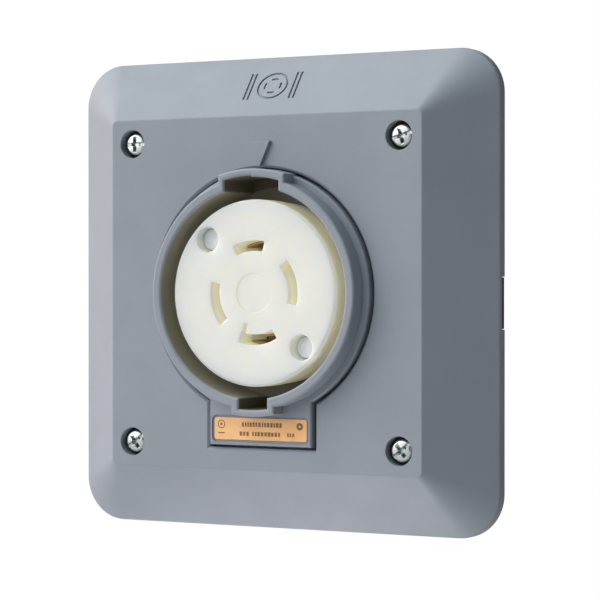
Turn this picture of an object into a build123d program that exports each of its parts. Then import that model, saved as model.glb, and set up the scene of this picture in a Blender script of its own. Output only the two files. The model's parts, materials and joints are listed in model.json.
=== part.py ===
from build123d import *
import math
import os

os.makedirs("parts", exist_ok=True)

# All dimensions are in millimetres. The front faces -Y, +X is to the right as seen from the
# front and +Z is up. Y = 0 is the plane where the cover meets the box or wall behind it, and
# the origin lies on that plane at the centre of the four cover screws.

# Cover plate
PLATE_SIZE = 149.2
PLATE_CORNER = 13.8
RIM_DEPTH = 2.95
FACE_SIZE = 110.5
FACE_CORNER = 1.8
FACE_Y = -17.64
FACE_WALL = 3.4
FACE_EDGE = 0.9
RIM_EDGE = 1.2
RIM_WALL = 3.0
LEDGE_WIDTH = 3.1
CAVITY_SIZE = 106.0
FACE_REAR_Y = FACE_Y + FACE_WALL

# Cover screws, 8-32 thread, and their captive sealing washers
SCREW_SPACING = 95.25
SCREW_RADIUS = 2.05
SCREW_NECK_RADIUS = 1.85
SCREW_HOLE_RADIUS = 2.4
SCREW_HEAD_RADIUS = 3.45
SCREW_HEAD_HEIGHT = 2.1
SCREW_TIP_Y = 7.5
SCREW_TIP_CHAMFER = 0.5
SCREW_HEAD_EDGE = 1.1
SCREW_CROSS_LENGTH = 4.2
SCREW_CROSS_DEPTH = 1.4
COUNTERBORE_RADIUS = 4.5
COUNTERBORE_DEPTH = 4.3
WASHER_RADIUS = 4.2
WASHER_THICKNESS = 0.9
WASHER_PLAY = 0.1
BOSS_RADIUS = 6.0
SCREW_TURNS = {"top_left": 0.0, "top_right": 17.0, "bottom_left": 35.0, "bottom_right": 40.0}
COUNTERBORE_Y = FACE_Y + COUNTERBORE_DEPTH
HEAD_SEAT_Y = COUNTERBORE_Y - WASHER_THICKNESS

# Gasket behind the cover plate
GASKET_THICKNESS = 2.0
GASKET_CLEARANCE = 0.2
GASKET_FRAME_WIDTH = 10.4
GASKET_PAD = 28.0
GASKET_PAD_CORNER = 4.0
NOTCH_LENGTH = 16.0
NOTCH_DEPTH = 1.9
NOTCH_Z = -3.0

# Keyhole opening in the cover plate, and the collar base that fills it
OPENING_RADIUS = 39.0
OPENING_TAB_HALF = 19.0
OPENING_TAB_BOTTOM = -48.4
OPENING_CHAMFER = 0.7
BASE_GAP = 0.9
BASE_RAISED = 1.0
BASE_EDGE = 0.4
BASE_Y = FACE_Y - BASE_RAISED

# Shroud collar
COLLAR_INNER = 32.8
COLLAR_OUTER = 35.9
COLLAR_FRONT_Y = -24.5
COLLAR_EDGE = 0.8
COLLAR_FLOOR_Y = -6.0
COLLAR_REAR_Y = -3.0
FLOOR_HOLE_RADIUS = 27.05
FLANGE_OVERLAP = 4.2
FLANGE_THICKNESS = 2.8
TOP_KEY_HALF = 9.6
TOP_KEY_RADIUS_LEFT = 36.3
TOP_KEY_RADIUS_RIGHT = 35.85
TOP_BUMP_HALF = 11.8
TOP_BUMP_RADIUS = 38.5
BOTTOM_KEY_X = 0.6
BOTTOM_KEY_HALF = 5.0
BOTTOM_KEY_RADIUS = 36.1
BOTTOM_BUMP_HALF = 7.6
BOTTOM_BUMP_RADIUS = 38.2

# Rating label
LABEL_WIDTH = 33.0
LABEL_HEIGHT = 6.9
LABEL_CORNER = 0.9
LABEL_Z = -42.4
LABEL_THICKNESS = 0.25
LABEL_RECESS = 0.5
LABEL_MARGIN = 0.8

# Seal and fixings between the collar and the cover plate
SEAL_THICKNESS = 1.0
SEAL_CLEARANCE = 0.4
FLANGE_SCREW_XZ = 34.0
FLANGE_SCREW_RADIUS = 1.4
FLANGE_SCREW_PILOT = 1.45
FLANGE_SCREW_HEAD = 4.2
FLANGE_SCREW_HEAD_HEIGHT = 2.0
FLANGE_SCREW_LENGTH = 5.0
FLANGE_SCREW_RECESS = 4.4
FLANGE_EAR = 5.5
FLANGE_BOSS_RADIUS = 3.2
FLANGE_BOSS_HOLE = 3.4
FLANGE_BOSS_PLAY = 0.1
PILOT_EXTRA = 0.4
FASTENER_HEAD_EDGE = 0.6
FLANGE_FRONT_Y = FACE_REAR_Y + SEAL_THICKNESS
FLANGE_REAR_Y = FLANGE_FRONT_Y + FLANGE_THICKNESS

# Index pointer and engraved mark on the cover plate
POINTER_HALF = 3.5
POINTER_TOP = 47.2
POINTER_TIP = 39.5
POINTER_HEIGHT = 1.2
MARK_RADIUS = 5.4
MARK_LINE = 0.7
MARK_DEPTH = 0.4
MARK_ARC_RADIUS = 2.43
MARK_ARC_HALF = 24.0
MARK_BAR_X = 7.4
MARK_BAR_STEP = 1.5

# Receptacle face, and the contact carrier behind it
SOCKET_RADIUS = 29.0
SOCKET_Y = -22.5
CARRIER_Y = -14.5
CARRIER_RADIUS = 28.6
SOCKET_EDGE = 0.9
SOCKET_SEAL_THICKNESS = 0.8
SOCKET_SEAL_PLAY = 0.2
SPIGOT_RADIUS = 26.9
DIMPLE_RADIUS = 6.2
DIMPLE_DEPTH = 0.2
SLOT_WIDTH = 3.3
HOOK_INNER = 9.7
HOOK_ANGLE = 8.0

# Receptacle body and its terminal chambers
BODY_RADIUS = 25.5
BODY_FLANGE_RADIUS = 30.5
BODY_FLANGE_THICKNESS = 3.0
BODY_REAR_Y = 24.0
BODY_EDGE = 1.5
CHAMBER_INNER = 10.6
CHAMBER_HALF = 5.2
CHAMBER_FRONT_Y = 6.0
CHAMBER_REAR_Y = 20.0
ENTRY_RADIUS = 3.25
ENTRY_RING = 17.45

# Contacts, one behind each slot: centre angle and half angle in degrees, and mean radius
CONTACTS = {
    "x": (13.5, 28.0, 13.9),
    "neutral": (96.7, 20.3, 14.7),
    "y": (193.5, 26.5, 13.9),
    "ground": (275.2, 25.3, 14.45),
}
LEAF_THICKNESS = 0.9
LEAF_GAP = 2.0
LEAF_FRONT_Y = -14.2
LEAF_END_PLAY = 1.0
WEB_FRONT_Y = -4.4
WEB_THICKNESS = 1.2
POCKET_CLEARANCE = 0.8
POCKET_ANGLE = 4.0
WEB_PLAY = 0.4
TAIL_INNER = 20.3
TAIL_OUTER = 21.7
TAIL_HALF = 4.0
TAIL_END_Y = 18.0
TAIL_CLEARANCE = 0.4

# Terminal screws and pressure plates
TERMINAL_Y = 12.0
TERMINAL_RADIUS = 1.95
TERMINAL_TAPPED = 2.03
TERMINAL_HOLE = 2.2
TERMINAL_HEAD_RADIUS = 3.2
TERMINAL_HEAD_HEIGHT = 2.0
TERMINAL_TIP = 11.2
TERMINAL_PLAY = 0.05
CLAMP_INNER = 12.6
CLAMP_THICKNESS = 2.0
CLAMP_HALF = 4.5

# Round-headed posts through the face, and the screws that reach them from behind the body
POST_RING = 23.6
POST_ANGLES = (135.0, 315.0)
POST_HEAD_RADIUS = 3.5
POST_HEAD_HEIGHT = 1.4
POST_HEAD_EDGE = 0.5
POST_HEAD_SUNK = 3.2
POST_BORE_OUTER = 4.0
POST_RADIUS = 2.5
POST_HOLE = 2.6
POST_BORE = 1.63
POST_BORE_FRONT_Y = -9.0
POST_END_Y = 4.0
POST_END_PLAY = 0.3
ASSEMBLY_RADIUS = 1.55
ASSEMBLY_HOLE = 1.8
ASSEMBLY_TIP_Y = -7.0
ASSEMBLY_HEAD_RADIUS = 3.0
ASSEMBLY_HEAD_HEIGHT = 2.0
ASSEMBLY_RECESS = 3.6
ASSEMBLY_SEAT_PLAY = 0.6
LUG_RADIUS = 5.0
LUG_REAR_Y = 11.0

# Driver recesses
RECESS_WIDTH = 1.1
RECESS_DEPTH = 1.0
TERMINAL_SLOT_LENGTH = 7.0
TERMINAL_CROSS_LENGTH = 4.0

# How far joined shapes run into each other, how far cuts run past a surface, and how near one
# depth is to another that counts as the same
OVERLAP = 0.5
PAST = 1.0
TOLERANCE = 0.001
BEYOND = 60.0


def front_plane(y):
    """Plane at depth y that faces the front: local x is +X, local y is +Z."""
    return Plane(origin=(0, y, 0), x_dir=(1, 0, 0), z_dir=(0, -1, 0))


def slab(sketch, rear_y, front_y):
    """A front-view sketch given thickness between two depths."""
    return extrude(front_plane(rear_y) * sketch, amount=rear_y - front_y)


def turned(angle, shape):
    """A shape built on the +X side, turned anticlockwise about the centre in the front view."""
    return Rot(0, -angle, 0) * shape


def radial_rod(radius, inner, outer, y):
    """A rod along +X between two distances from the centre axis, at depth y."""
    return Pos((inner + outer) / 2, y, 0) * Rot(0, 90, 0) * Cylinder(radius, outer - inner)


def radial_box(inner, outer, half_width, front_y, rear_y):
    """A box on the +X side between two distances from the centre axis and two depths."""
    centre = Pos((inner + outer) / 2, (front_y + rear_y) / 2, 0)
    return centre * Box(outer - inner, rear_y - front_y, 2 * half_width)


def sector(inner, outer, half_angle):
    """A ring sector, centred on +X."""
    inner_arc = CenterArc((0, 0), inner, -half_angle, 2 * half_angle)
    outer_arc = CenterArc((0, 0), outer, -half_angle, 2 * half_angle)
    low_side = Line(inner_arc @ 0, outer_arc @ 0)
    high_side = Line(inner_arc @ 1, outer_arc @ 1)
    return make_face([inner_arc, outer_arc, low_side, high_side])


def keyhole(radius, tab_half, tab_bottom):
    """A disc with a rectangular tab below it."""
    return Circle(radius) + Pos(0, tab_bottom / 2) * Rectangle(2 * tab_half, -tab_bottom)


def square(size, corner):
    """A square with rounded corners, centred on the origin."""
    return RectangleRounded(size, size, corner)


def corners(spacing):
    """The four corner positions of a square pattern, by name."""
    half = spacing / 2
    return {
        "top_left": (-half, half),
        "top_right": (half, half),
        "bottom_left": (-half, -half),
        "bottom_right": (half, -half),
    }


def at_corners(spacing, sketch):
    """The same sketch at the four corners of a square pattern."""
    return [Pos(x, z) * sketch for x, z in corners(spacing).values()]


def band(radius, x, half_width, direction):
    """The part of a disc within a vertical strip, above the centre (1) or below it (-1)."""
    strip = Pos(x, direction * radius / 2) * Rectangle(2 * half_width, radius)
    return Circle(radius) & strip


def edges_at(shape, y):
    """The edges of a shape that lie wholly at one depth."""
    return shape.edges().filter_by_position(Axis.Y, y - TOLERANCE, y + TOLERANCE)


def inside(edges, half):
    """The edges whose centres lie within a square of this half size about the origin."""
    return [edge for edge in edges if max(abs(edge.center().X), abs(edge.center().Z)) < half]


def cross(length):
    """The outline of a cross-shaped driver recess."""
    return Rectangle(length, RECESS_WIDTH) + Rectangle(RECESS_WIDTH, length)


def plate_shell():
    """The bevelled cover, hollow at the back, with rounded edges."""
    rim = slab(square(PLATE_SIZE, PLATE_CORNER), 0, -RIM_DEPTH)
    bevel = loft(
        [
            front_plane(-RIM_DEPTH) * square(PLATE_SIZE, PLATE_CORNER),
            front_plane(FACE_Y) * square(FACE_SIZE, FACE_CORNER),
        ],
        ruled=True,
    )
    shell = rim + bevel
    shell = fillet(edges_at(shell, FACE_Y), FACE_EDGE)
    shell = fillet(edges_at(shell, -RIM_DEPTH), RIM_EDGE)
    seat_size = PLATE_SIZE - 2 * RIM_WALL
    ledge_size = seat_size - 2 * LEDGE_WIDTH
    seat = slab(square(seat_size, PLATE_CORNER - RIM_WALL), 0, -GASKET_THICKNESS)
    cavity = loft(
        [
            front_plane(-GASKET_THICKNESS) * square(ledge_size, PLATE_CORNER - RIM_WALL - LEDGE_WIDTH),
            front_plane(FACE_REAR_Y) * square(CAVITY_SIZE, FACE_CORNER),
        ],
        ruled=True,
    )
    return shell - seat - cavity


def plate_ribs():
    """Two gusset ribs behind each bevel, between the face and the sloping wall."""
    rib_offset = 28.0
    rib_thickness = 1.6
    rib_inner = 46.0
    rib_rear_y = -6.0
    rib_outer = CAVITY_SIZE / 2 + 1.0
    foot = radial_box(rib_inner, rib_outer, rib_thickness / 2, FACE_REAR_Y - OVERLAP, rib_rear_y)
    pair = (Pos(0, 0, rib_offset) * foot) + (Pos(0, 0, -rib_offset) * foot)
    return [turned(angle, pair) for angle in (0, 90, 180, 270)]


def engraved_mark():
    """A plain circle holding four short arcs, sunk into the top bevel."""
    run = (PLATE_SIZE - FACE_SIZE) / 2
    rise = -RIM_DEPTH - FACE_Y
    slope = math.hypot(run, rise)
    middle = ((PLATE_SIZE + FACE_SIZE) / 4, (FACE_Y - RIM_DEPTH) / 2)
    bevel_plane = Plane(
        origin=(0, middle[1], middle[0]),
        x_dir=(1, 0, 0),
        z_dir=(0, -run / slope, rise / slope),
    )
    ring = Circle(MARK_RADIUS) - Circle(MARK_RADIUS - MARK_LINE)
    arc = sector(MARK_ARC_RADIUS, MARK_ARC_RADIUS + MARK_LINE, MARK_ARC_HALF)
    arcs = [Rot(0, 0, angle) * arc for angle in (0, 90, 180, 270)]
    bar = Rectangle(MARK_LINE, 2 * MARK_RADIUS)
    places = [side * (MARK_BAR_X + step * MARK_BAR_STEP) for side in (-1, 1) for step in (0, 1)]
    bars = [Pos(place) * bar for place in places]
    mark = Sketch() + [ring] + arcs + bars
    return extrude(bevel_plane * mark, amount=MARK_DEPTH, both=True)


def cover_plate():
    screw_bosses = Sketch() + at_corners(SCREW_SPACING, Circle(BOSS_RADIUS))
    flange_bosses = Sketch() + at_corners(2 * FLANGE_SCREW_XZ, Circle(FLANGE_BOSS_RADIUS))
    plate = plate_shell() + slab(screw_bosses, -GASKET_THICKNESS, FACE_REAR_Y)
    plate += slab(flange_bosses, FLANGE_REAR_Y - FLANGE_BOSS_PLAY, FACE_REAR_Y)
    plate += plate_ribs()
    opening = keyhole(OPENING_RADIUS, OPENING_TAB_HALF, OPENING_TAB_BOTTOM)
    plate -= slab(opening, 0, FACE_Y - PAST)
    plate = chamfer(inside(edges_at(plate, FACE_Y), -OPENING_TAB_BOTTOM + PAST), OPENING_CHAMFER)
    screw_holes = Sketch() + at_corners(SCREW_SPACING, Circle(SCREW_HOLE_RADIUS))
    counterbores = Sketch() + at_corners(SCREW_SPACING, Circle(COUNTERBORE_RADIUS))
    pilots = Sketch() + at_corners(2 * FLANGE_SCREW_XZ, Circle(FLANGE_SCREW_PILOT))
    plate -= slab(screw_holes, 0, FACE_Y - PAST)
    plate -= slab(counterbores, COUNTERBORE_Y, FACE_Y - PAST)
    plate -= slab(pilots, 0, FLANGE_REAR_Y - FLANGE_SCREW_LENGTH - PILOT_EXTRA)
    notch = Pos(0, NOTCH_Z) * Rectangle(PLATE_SIZE + 2 * PAST, NOTCH_LENGTH)
    plate -= slab(notch, 0, -NOTCH_DEPTH)
    pointer = Polygon(
        (-POINTER_HALF, POINTER_TOP), (0, POINTER_TIP), (POINTER_HALF, POINTER_TOP), align=None
    )
    plate += slab(pointer, FACE_Y + OVERLAP, FACE_Y - POINTER_HEIGHT)
    plate -= engraved_mark()
    return plate


def cover_gasket():
    """Foam frame with a pad at each screw and a tab in each side notch of the rim."""
    outer_size = PLATE_SIZE - 2 * RIM_WALL - 2 * GASKET_CLEARANCE
    outline = square(outer_size, PLATE_CORNER - RIM_WALL - GASKET_CLEARANCE)
    window_size = outer_size - 2 * GASKET_FRAME_WIDTH
    window = outline & Rectangle(window_size, window_size)
    window -= at_corners(SCREW_SPACING + GASKET_PAD / 2, square(GASKET_PAD, GASKET_PAD_CORNER))
    tab_length = NOTCH_LENGTH - 2 * GASKET_CLEARANCE
    tabs = Pos(0, NOTCH_Z) * Rectangle(PLATE_SIZE - 2 * GASKET_CLEARANCE, tab_length)
    gasket = slab(outline, 0, -GASKET_THICKNESS) + slab(tabs, 0, -NOTCH_DEPTH)
    gasket -= slab(window, PAST, -GASKET_THICKNESS - PAST)
    screw_holes = Sketch() + at_corners(SCREW_SPACING, Circle(SCREW_HOLE_RADIUS))
    return gasket - slab(screw_holes, PAST, -GASKET_THICKNESS - PAST)


def base_outline(grow):
    """The collar base's outline, grown outwards by a distance."""
    return keyhole(
        OPENING_RADIUS - BASE_GAP + grow,
        OPENING_TAB_HALF - BASE_GAP + grow,
        OPENING_TAB_BOTTOM + BASE_GAP - grow,
    )


def shroud_collar():
    """Guard ring with two keyways, its base in the keyhole opening, and its rear flange."""
    bumps = band(TOP_BUMP_RADIUS, 0, TOP_BUMP_HALF, 1)
    bumps += band(BOTTOM_BUMP_RADIUS, BOTTOM_KEY_X, BOTTOM_BUMP_HALF, -1)
    ring = Circle(COLLAR_OUTER) + bumps
    top_left = band(TOP_KEY_RADIUS_LEFT, -TOP_KEY_HALF / 2, TOP_KEY_HALF / 2, 1)
    top_right = band(TOP_KEY_RADIUS_RIGHT, TOP_KEY_HALF / 2, TOP_KEY_HALF / 2, 1)
    bottom = band(BOTTOM_KEY_RADIUS, BOTTOM_KEY_X, BOTTOM_KEY_HALF, -1)
    bore = Circle(COLLAR_INNER) + top_left + top_right + bottom
    wall = slab(ring - bore, FLANGE_REAR_Y, COLLAR_FRONT_Y)
    wall = fillet(edges_at(wall, COLLAR_FRONT_Y), COLLAR_EDGE)
    ears = [turned_ear(angle) for angle in (45, 135, 225, 315)]
    flange = Sketch() + [base_outline(FLANGE_OVERLAP)] + ears
    flange -= at_corners(2 * FLANGE_SCREW_XZ, Circle(FLANGE_BOSS_HOLE))
    base = slab(base_outline(0) - Circle(COLLAR_INNER + PAST), FLANGE_FRONT_Y, BASE_Y)
    base = chamfer(base.faces().sort_by(Axis.Y)[0].outer_wire().edges(), BASE_EDGE)
    collar = wall + base
    collar += slab(flange - Circle(COLLAR_INNER + PAST), FLANGE_REAR_Y, FLANGE_FRONT_Y)
    collar += slab(ring, COLLAR_REAR_Y, FLANGE_REAR_Y)
    collar -= slab(bore, COLLAR_FLOOR_Y, COLLAR_FRONT_Y)
    collar -= slab(Circle(FLOOR_HOLE_RADIUS), 0, COLLAR_FLOOR_Y - PAST)
    recess = Pos(0, LABEL_Z) * RectangleRounded(
        LABEL_WIDTH + 2 * LABEL_MARGIN, LABEL_HEIGHT + 2 * LABEL_MARGIN, LABEL_CORNER + LABEL_MARGIN
    )
    return collar - slab(recess, BASE_Y + LABEL_RECESS, BASE_Y - PAST)


def turned_ear(angle):
    """A fixing ear of the rear flange, pointing along one diagonal."""
    reach = math.hypot(FLANGE_SCREW_XZ, FLANGE_SCREW_XZ)
    neck = Pos(reach - FLANGE_EAR) * Rectangle(2 * FLANGE_EAR, 2 * FLANGE_EAR)
    return Rot(0, 0, angle) * (neck + Pos(reach) * Circle(FLANGE_EAR))


def rating_label():
    plate = Pos(0, LABEL_Z) * RectangleRounded(LABEL_WIDTH, LABEL_HEIGHT, LABEL_CORNER)
    back_y = BASE_Y + LABEL_RECESS
    return slab(plate, back_y, back_y - LABEL_THICKNESS)


def shroud_seal():
    """Flat seal between the rear flange and the back of the cover plate."""
    ring = base_outline(FLANGE_OVERLAP) - base_outline(BASE_GAP + SEAL_CLEARANCE)
    return slab(ring, FLANGE_FRONT_Y, FACE_REAR_Y)


def shroud_screws():
    """Four washer-head screws that draw the rear flange against the cover plate."""
    spots = at_corners(2 * FLANGE_SCREW_XZ, Circle(FLANGE_SCREW_RADIUS))
    heads = at_corners(2 * FLANGE_SCREW_XZ, Circle(FLANGE_SCREW_HEAD))
    rear_y = FLANGE_REAR_Y + FLANGE_SCREW_HEAD_HEIGHT
    screws = slab(Sketch() + spots, FLANGE_REAR_Y, FLANGE_REAR_Y - FLANGE_SCREW_LENGTH)
    screws += slab(Sketch() + heads, rear_y, FLANGE_REAR_Y)
    screws = fillet(edges_at(screws, rear_y), FASTENER_HEAD_EDGE)
    crosses = Sketch() + at_corners(2 * FLANGE_SCREW_XZ, cross(FLANGE_SCREW_RECESS))
    return screws - slab(crosses, rear_y, rear_y - RECESS_DEPTH)


def receptacle_face():
    """Round insulating face with four curved slots, one of them hooked."""
    face = slab(Circle(SOCKET_RADIUS), CARRIER_Y, SOCKET_Y)
    face = fillet(edges_at(face, SOCKET_Y), SOCKET_EDGE)
    face -= slab(Circle(DIMPLE_RADIUS), SOCKET_Y + DIMPLE_DEPTH, SOCKET_Y - PAST)
    for centre, half, middle in CONTACTS.values():
        slot = sector(middle - SLOT_WIDTH / 2, middle + SLOT_WIDTH / 2, half)
        face -= turned(centre, slab(slot, 0, SOCKET_Y - PAST))
    ground_centre, ground_half, ground_middle = CONTACTS["ground"]
    hook = slab(sector(HOOK_INNER, ground_middle, HOOK_ANGLE / 2), 0, SOCKET_Y - PAST)
    face -= turned(ground_centre - ground_half + HOOK_ANGLE / 2, hook)
    for angle in POST_ANGLES:
        hole = slab(Pos(POST_RING) * Circle(POST_HOLE), 0, SOCKET_Y - PAST)
        sunk_y = SOCKET_Y + POST_HEAD_SUNK + POST_HEAD_HEIGHT
        bore = slab(Pos(POST_RING) * Circle(POST_BORE_OUTER), sunk_y, SOCKET_Y - PAST)
        face -= [turned(angle, hole), turned(angle, bore)]
    return face


def contact_carrier():
    """Insulating block behind the face, with a pocket through it for each contact."""
    lip_rear_y = COLLAR_FLOOR_Y - SOCKET_SEAL_THICKNESS
    carrier = slab(Circle(CARRIER_RADIUS), lip_rear_y, CARRIER_Y)
    carrier += slab(Circle(SPIGOT_RADIUS), COLLAR_REAR_Y, lip_rear_y)
    reach = SLOT_WIDTH / 2 + POCKET_CLEARANCE
    arm_outer = TAIL_OUTER + TAIL_CLEARANCE
    arm_half = TAIL_HALF + TAIL_CLEARANCE
    for centre, half, middle in CONTACTS.values():
        pocket = slab(sector(middle - reach, middle + reach, half + POCKET_ANGLE), 0, CARRIER_Y - PAST)
        arm = radial_box(middle, arm_outer, arm_half, WEB_FRONT_Y - WEB_PLAY, 0)
        carrier -= [turned(centre, pocket), turned(centre, arm)]
    for angle in POST_ANGLES:
        carrier -= turned(angle, slab(Pos(POST_RING) * Circle(POST_HOLE), 0, CARRIER_Y - PAST))
    return carrier


def socket_seal():
    """Flat ring seal under the lip of the contact carrier."""
    ring = Circle(CARRIER_RADIUS - SOCKET_SEAL_PLAY) - Circle(FLOOR_HOLE_RADIUS)
    return slab(ring, COLLAR_FLOOR_Y, COLLAR_FLOOR_Y - SOCKET_SEAL_THICKNESS)


def receptacle_body():
    """Rear housing: a flange that clamps the collar floor, and four terminal chambers."""
    flange_rear_y = COLLAR_REAR_Y + BODY_FLANGE_THICKNESS
    body = slab(Circle(BODY_RADIUS), BODY_REAR_Y, flange_rear_y)
    body = fillet(edges_at(body, BODY_REAR_Y), BODY_EDGE)
    body += slab(Circle(BODY_FLANGE_RADIUS), flange_rear_y, COLLAR_REAR_Y)
    for centre, _, _ in CONTACTS.values():
        chamber = radial_box(CHAMBER_INNER, BEYOND, CHAMBER_HALF, CHAMBER_FRONT_Y, CHAMBER_REAR_Y)
        passage = radial_box(
            TAIL_INNER - TAIL_CLEARANCE,
            TAIL_OUTER + TAIL_CLEARANCE,
            TAIL_HALF + TAIL_CLEARANCE,
            COLLAR_REAR_Y - PAST,
            CHAMBER_FRONT_Y + PAST,
        )
        entry = slab(Pos(ENTRY_RING) * Circle(ENTRY_RADIUS), BODY_REAR_Y + PAST, CHAMBER_REAR_Y - PAST)
        body -= [turned(centre, cut) for cut in (chamber, passage, entry)]
    for angle in POST_ANGLES:
        lug = slab(Pos(POST_RING) * Circle(LUG_RADIUS), LUG_REAR_Y, flange_rear_y)
        post_hole = slab(Pos(POST_RING) * Circle(POST_HOLE), POST_END_Y + POST_END_PLAY, COLLAR_REAR_Y - PAST)
        screw_hole = slab(Pos(POST_RING) * Circle(ASSEMBLY_HOLE), LUG_REAR_Y + PAST, COLLAR_REAR_Y - PAST)
        seat_radius = ASSEMBLY_HEAD_RADIUS + ASSEMBLY_SEAT_PLAY
        seat = slab(Pos(POST_RING) * Circle(seat_radius), BODY_REAR_Y + PAST, LUG_REAR_Y)
        body += turned(angle, lug)
        body -= [turned(angle, cut) for cut in (post_hole, screw_hole, seat)]
    return body


def contact(half_angle, middle):
    """Two curved leaves joined by a web, with an arm and a tail that reach the terminal."""
    inner_leaf = middle - LEAF_GAP / 2
    outer_leaf = middle + LEAF_GAP / 2
    reach = half_angle - LEAF_END_PLAY
    leaves = sector(inner_leaf - LEAF_THICKNESS, inner_leaf, reach)
    leaves += sector(outer_leaf, outer_leaf + LEAF_THICKNESS, reach)
    web = sector(inner_leaf - LEAF_THICKNESS, outer_leaf + LEAF_THICKNESS, reach)
    web_rear_y = WEB_FRONT_Y + WEB_THICKNESS
    shape = slab(leaves, WEB_FRONT_Y, LEAF_FRONT_Y)
    shape += slab(web, web_rear_y, WEB_FRONT_Y)
    shape += radial_box(outer_leaf, TAIL_OUTER, TAIL_HALF, WEB_FRONT_Y, web_rear_y)
    shape += radial_box(TAIL_INNER, TAIL_OUTER, TAIL_HALF, WEB_FRONT_Y, TAIL_END_Y)
    return shape - radial_rod(TERMINAL_HOLE, TAIL_INNER - PAST, TAIL_OUTER + PAST, TERMINAL_Y)


def pressure_plate():
    """The plate that the terminal screw draws outwards to grip the wire."""
    outer = CLAMP_INNER + CLAMP_THICKNESS
    plate = radial_box(CLAMP_INNER, outer, CLAMP_HALF, TERMINAL_Y - CLAMP_HALF, TERMINAL_Y + CLAMP_HALF)
    return plate - radial_rod(TERMINAL_TAPPED, CLAMP_INNER - PAST, outer + PAST, TERMINAL_Y)


def terminal_screw():
    """Radial screw with a slotted, crossed head outside the contact's tail."""
    seat = TAIL_OUTER + TERMINAL_PLAY
    top = seat + TERMINAL_HEAD_HEIGHT
    screw = radial_rod(TERMINAL_RADIUS, TERMINAL_TIP, seat + OVERLAP, TERMINAL_Y)
    screw += radial_rod(TERMINAL_HEAD_RADIUS, seat, top, TERMINAL_Y)
    slot = Box(2 * RECESS_DEPTH, RECESS_WIDTH, TERMINAL_SLOT_LENGTH)
    crossing = Box(2 * RECESS_DEPTH, TERMINAL_CROSS_LENGTH, RECESS_WIDTH)
    return screw - Pos(top, TERMINAL_Y, 0) * (slot + crossing)


def assembly_posts():
    """Two tapped posts with smooth round heads, set into the face."""
    head_y = SOCKET_Y + POST_HEAD_SUNK
    seat_y = head_y + POST_HEAD_HEIGHT
    post = slab(Circle(POST_HEAD_RADIUS), seat_y, head_y)
    post = fillet(edges_at(post, head_y), POST_HEAD_EDGE)
    post += slab(Circle(POST_RADIUS), POST_END_Y, seat_y - OVERLAP)
    post -= slab(Circle(POST_BORE), POST_END_Y + PAST, POST_BORE_FRONT_Y)
    post = Pos(POST_RING, 0, 0) * post
    return [turned(angle, post) for angle in POST_ANGLES]


def assembly_screws():
    """Two screws from behind the body's lugs into the posts."""
    rear_y = LUG_REAR_Y + ASSEMBLY_HEAD_HEIGHT
    head = slab(Circle(ASSEMBLY_HEAD_RADIUS), rear_y, LUG_REAR_Y)
    head = fillet(edges_at(head, rear_y), FASTENER_HEAD_EDGE)
    shank = slab(Circle(ASSEMBLY_RADIUS), LUG_REAR_Y + OVERLAP, ASSEMBLY_TIP_Y)
    screw = head + shank - slab(cross(ASSEMBLY_RECESS), rear_y, rear_y - RECESS_DEPTH)
    screw = Pos(POST_RING, 0, 0) * screw
    return [turned(angle, screw) for angle in POST_ANGLES]


def cover_screw():
    """Captive pan-head screw: narrow neck through the cover, thread beyond it, slot and cross."""
    top_y = HEAD_SEAT_Y - SCREW_HEAD_HEIGHT
    head = slab(Circle(SCREW_HEAD_RADIUS), HEAD_SEAT_Y, top_y)
    head = fillet(edges_at(head, top_y), SCREW_HEAD_EDGE)
    neck = slab(Circle(SCREW_NECK_RADIUS), OVERLAP, HEAD_SEAT_Y - OVERLAP)
    threaded = slab(Circle(SCREW_RADIUS), SCREW_TIP_Y, 0)
    threaded = chamfer(edges_at(threaded, SCREW_TIP_Y), SCREW_TIP_CHAMFER)
    slot_length = 2 * (SCREW_HEAD_RADIUS + PAST)
    slot = slab(Rectangle(slot_length, RECESS_WIDTH), top_y + RECESS_DEPTH, top_y - PAST)
    recess = slab(cross(SCREW_CROSS_LENGTH), top_y + SCREW_CROSS_DEPTH, top_y)
    return head + neck + threaded - recess - slot


def sealing_washer():
    ring = Circle(WASHER_RADIUS) - Circle(SCREW_NECK_RADIUS + WASHER_PLAY)
    return slab(ring, COUNTERBORE_Y, HEAD_SEAT_Y)


def write(name, shape):
    """Write one node; a list of separate pieces becomes one compound."""
    pieces = shape if isinstance(shape, list) else [shape]
    solids = [solid for piece in pieces for solid in piece.solids()]
    result = solids[0] if len(solids) == 1 else Compound(solids)
    result.label = name
    export_step(result, f"parts/{name}.step")


write("cover_plate", cover_plate())
write("cover_gasket", cover_gasket())
write("shroud_collar", shroud_collar())
write("shroud_seal", shroud_seal())
write("shroud_screws", shroud_screws())
write("rating_label", rating_label())
write("receptacle_face", receptacle_face())
write("contact_carrier", contact_carrier())
write("socket_seal", socket_seal())
write("receptacle_body", receptacle_body())
write("assembly_posts", assembly_posts())
write("assembly_screws", assembly_screws())
for contact_name, (slot_centre, slot_half, slot_middle) in CONTACTS.items():
    write(f"contact_{contact_name}", turned(slot_centre, contact(slot_half, slot_middle)))
    write(f"pressure_plate_{contact_name}", turned(slot_centre, pressure_plate()))
    write(f"terminal_screw_{contact_name}", turned(slot_centre, terminal_screw()))
for corner_name, (corner_x, corner_z) in corners(SCREW_SPACING).items():
    place = Pos(corner_x, 0, corner_z)
    write(f"cover_screw_{corner_name}", place * Rot(0, SCREW_TURNS[corner_name], 0) * cover_screw())
    write(f"sealing_washer_{corner_name}", place * sealing_washer())
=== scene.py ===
"""Looks for a locking receptacle on its bevelled cover plate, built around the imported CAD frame."""

import json
import math
import random

import bmesh
import bpy
from mathutils import Matrix, Vector


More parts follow.
